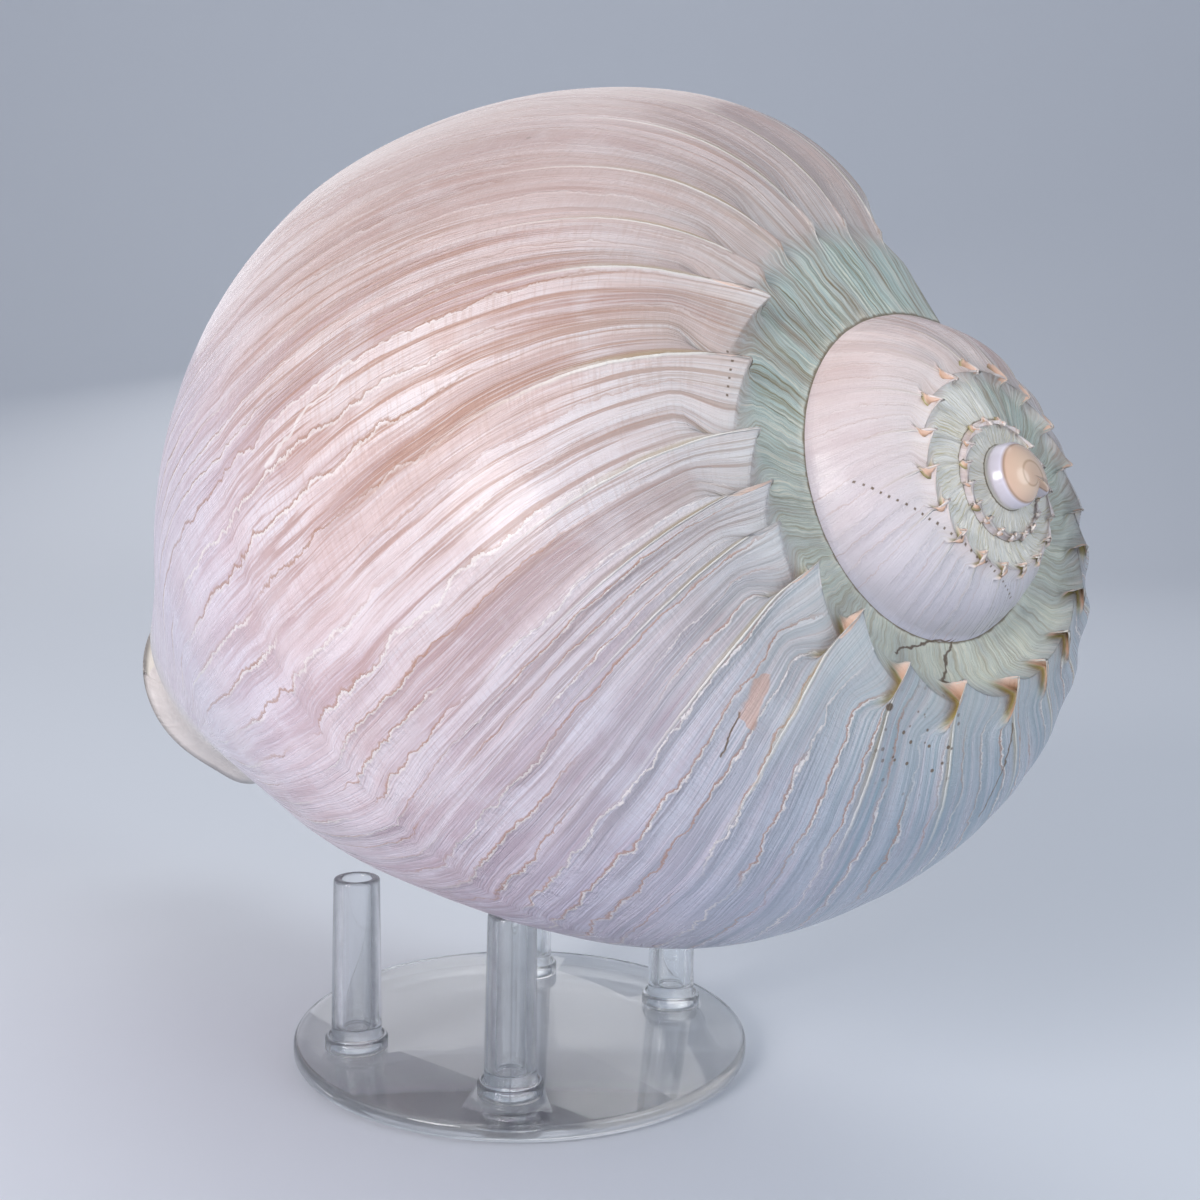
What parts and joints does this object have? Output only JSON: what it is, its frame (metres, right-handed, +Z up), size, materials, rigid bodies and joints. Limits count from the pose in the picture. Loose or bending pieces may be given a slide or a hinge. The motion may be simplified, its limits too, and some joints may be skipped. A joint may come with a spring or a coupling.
{
  "type": "large seashell on a display stand",
  "caption": "Large rounded sea snail shell with a hooded spiny shoulder and a wide hollow mouth, cradled on four clear posts of a round stand.",
  "frame": {"origin": "middle of the flat underside of the stand's disc", "axes": "+Z up; +X to the right and -Y towards the viewer who sees the coiled top and the rounded back"},
  "size_m": [0.2191, 0.2393, 0.2058],
  "materials": {
    "aged_shell": "weathered shell, half matt, pinkish cream with tan growth streaks and a pale green shoulder",
    "clear_plastic": "clear polished acrylic"
  },
  "bodies": {
    "root": {"shell": "aged_shell", "stand_disc": "clear_plastic", "post_left": "clear_plastic", "post_front": "clear_plastic", "post_right": "clear_plastic", "post_back": "clear_plastic"}
  },
  "joints": []
}
